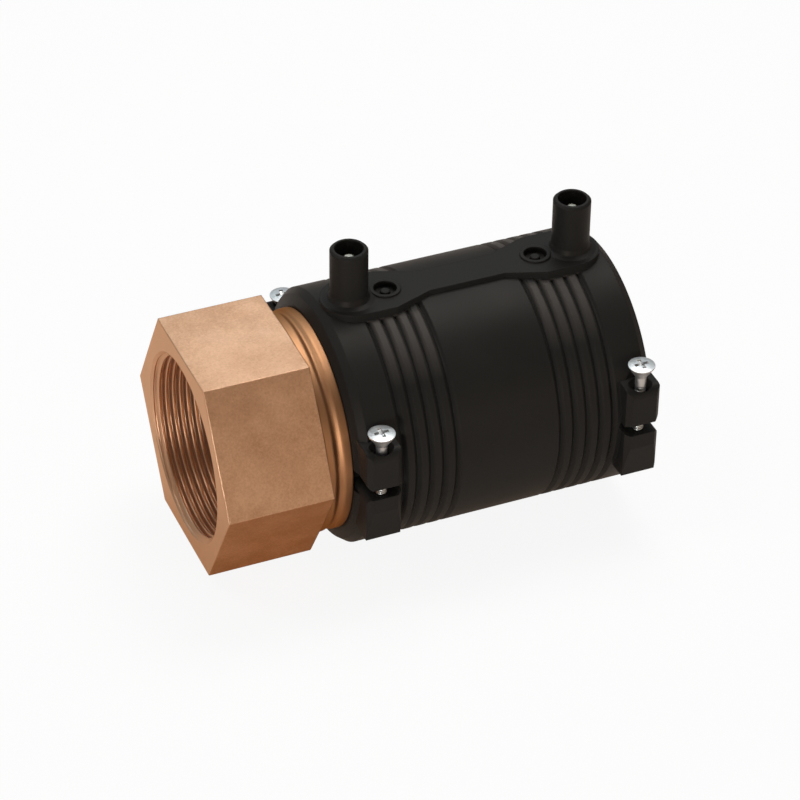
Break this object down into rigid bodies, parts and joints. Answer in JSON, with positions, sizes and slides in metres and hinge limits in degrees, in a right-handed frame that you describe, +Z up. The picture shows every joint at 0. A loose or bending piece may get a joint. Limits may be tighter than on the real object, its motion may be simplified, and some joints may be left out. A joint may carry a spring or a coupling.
{
  "type": "electrofusion transition adapter",
  "caption": "Pipe adapter: a black plastic electrofusion socket with clamp screws and raised terminals, fitted with a brass hexagon insert that has a female pipe thread.",
  "frame": {"origin": "centre of the hexagon's front face, on the waterway's axis, where the female thread begins", "axes": "+X along the waterway from the thread mouth to the pipe socket, +Z up along the terminals, +Y to the left when looking along +X"},
  "size_m": [0.1405, 0.09, 0.1002],
  "materials": {
    "black_plastic": "moulded, satin",
    "brass": "milled flats, turned collar",
    "plated_brass": "plated contact",
    "zinc_steel": "zinc plated",
    "rubber": "matt",
    "wire": "bright drawn resistance wire"
  },
  "bodies": {
    "fitting": {"coupler_body": "black_plastic", "threaded_insert": "brass", "transition_stub": "black_plastic", "seal_ring_outer": "rubber", "seal_ring_inner": "rubber", "heating_wire": "wire", "terminal_pin_thread_end": "plated_brass", "terminal_pin_pipe_end": "plated_brass", "fusion_indicator_thread_end": "black_plastic", "fusion_indicator_pipe_end": "black_plastic"},
    "screw_thread_end_right": {"clamp_screw_thread_end_right": "zinc_steel"},
    "screw_thread_end_left": {"clamp_screw_thread_end_left": "zinc_steel"},
    "screw_pipe_end_right": {"clamp_screw_pipe_end_right": "zinc_steel"},
    "screw_pipe_end_left": {"clamp_screw_pipe_end_left": "zinc_steel"}
  },
  "joints": [
    {"name": "screw_thread_end_right_turn", "type": "hinge", "parent": "fitting", "child": "screw_thread_end_right", "pos_m": [0.0485, -0.0408, 0], "axis": [0, 0, -1], "continuous": true},
    {"name": "screw_thread_end_left_turn", "type": "hinge", "parent": "fitting", "child": "screw_thread_end_left", "pos_m": [0.0485, 0.0408, 0], "axis": [0, 0, -1], "continuous": true},
    {"name": "screw_pipe_end_right_turn", "type": "hinge", "parent": "fitting", "child": "screw_pipe_end_right", "pos_m": [0.134, -0.0408, 0], "axis": [0, 0, -1], "continuous": true},
    {"name": "screw_pipe_end_left_turn", "type": "hinge", "parent": "fitting", "child": "screw_pipe_end_left", "pos_m": [0.134, 0.0408, 0], "axis": [0, 0, -1], "continuous": true}
  ]
}
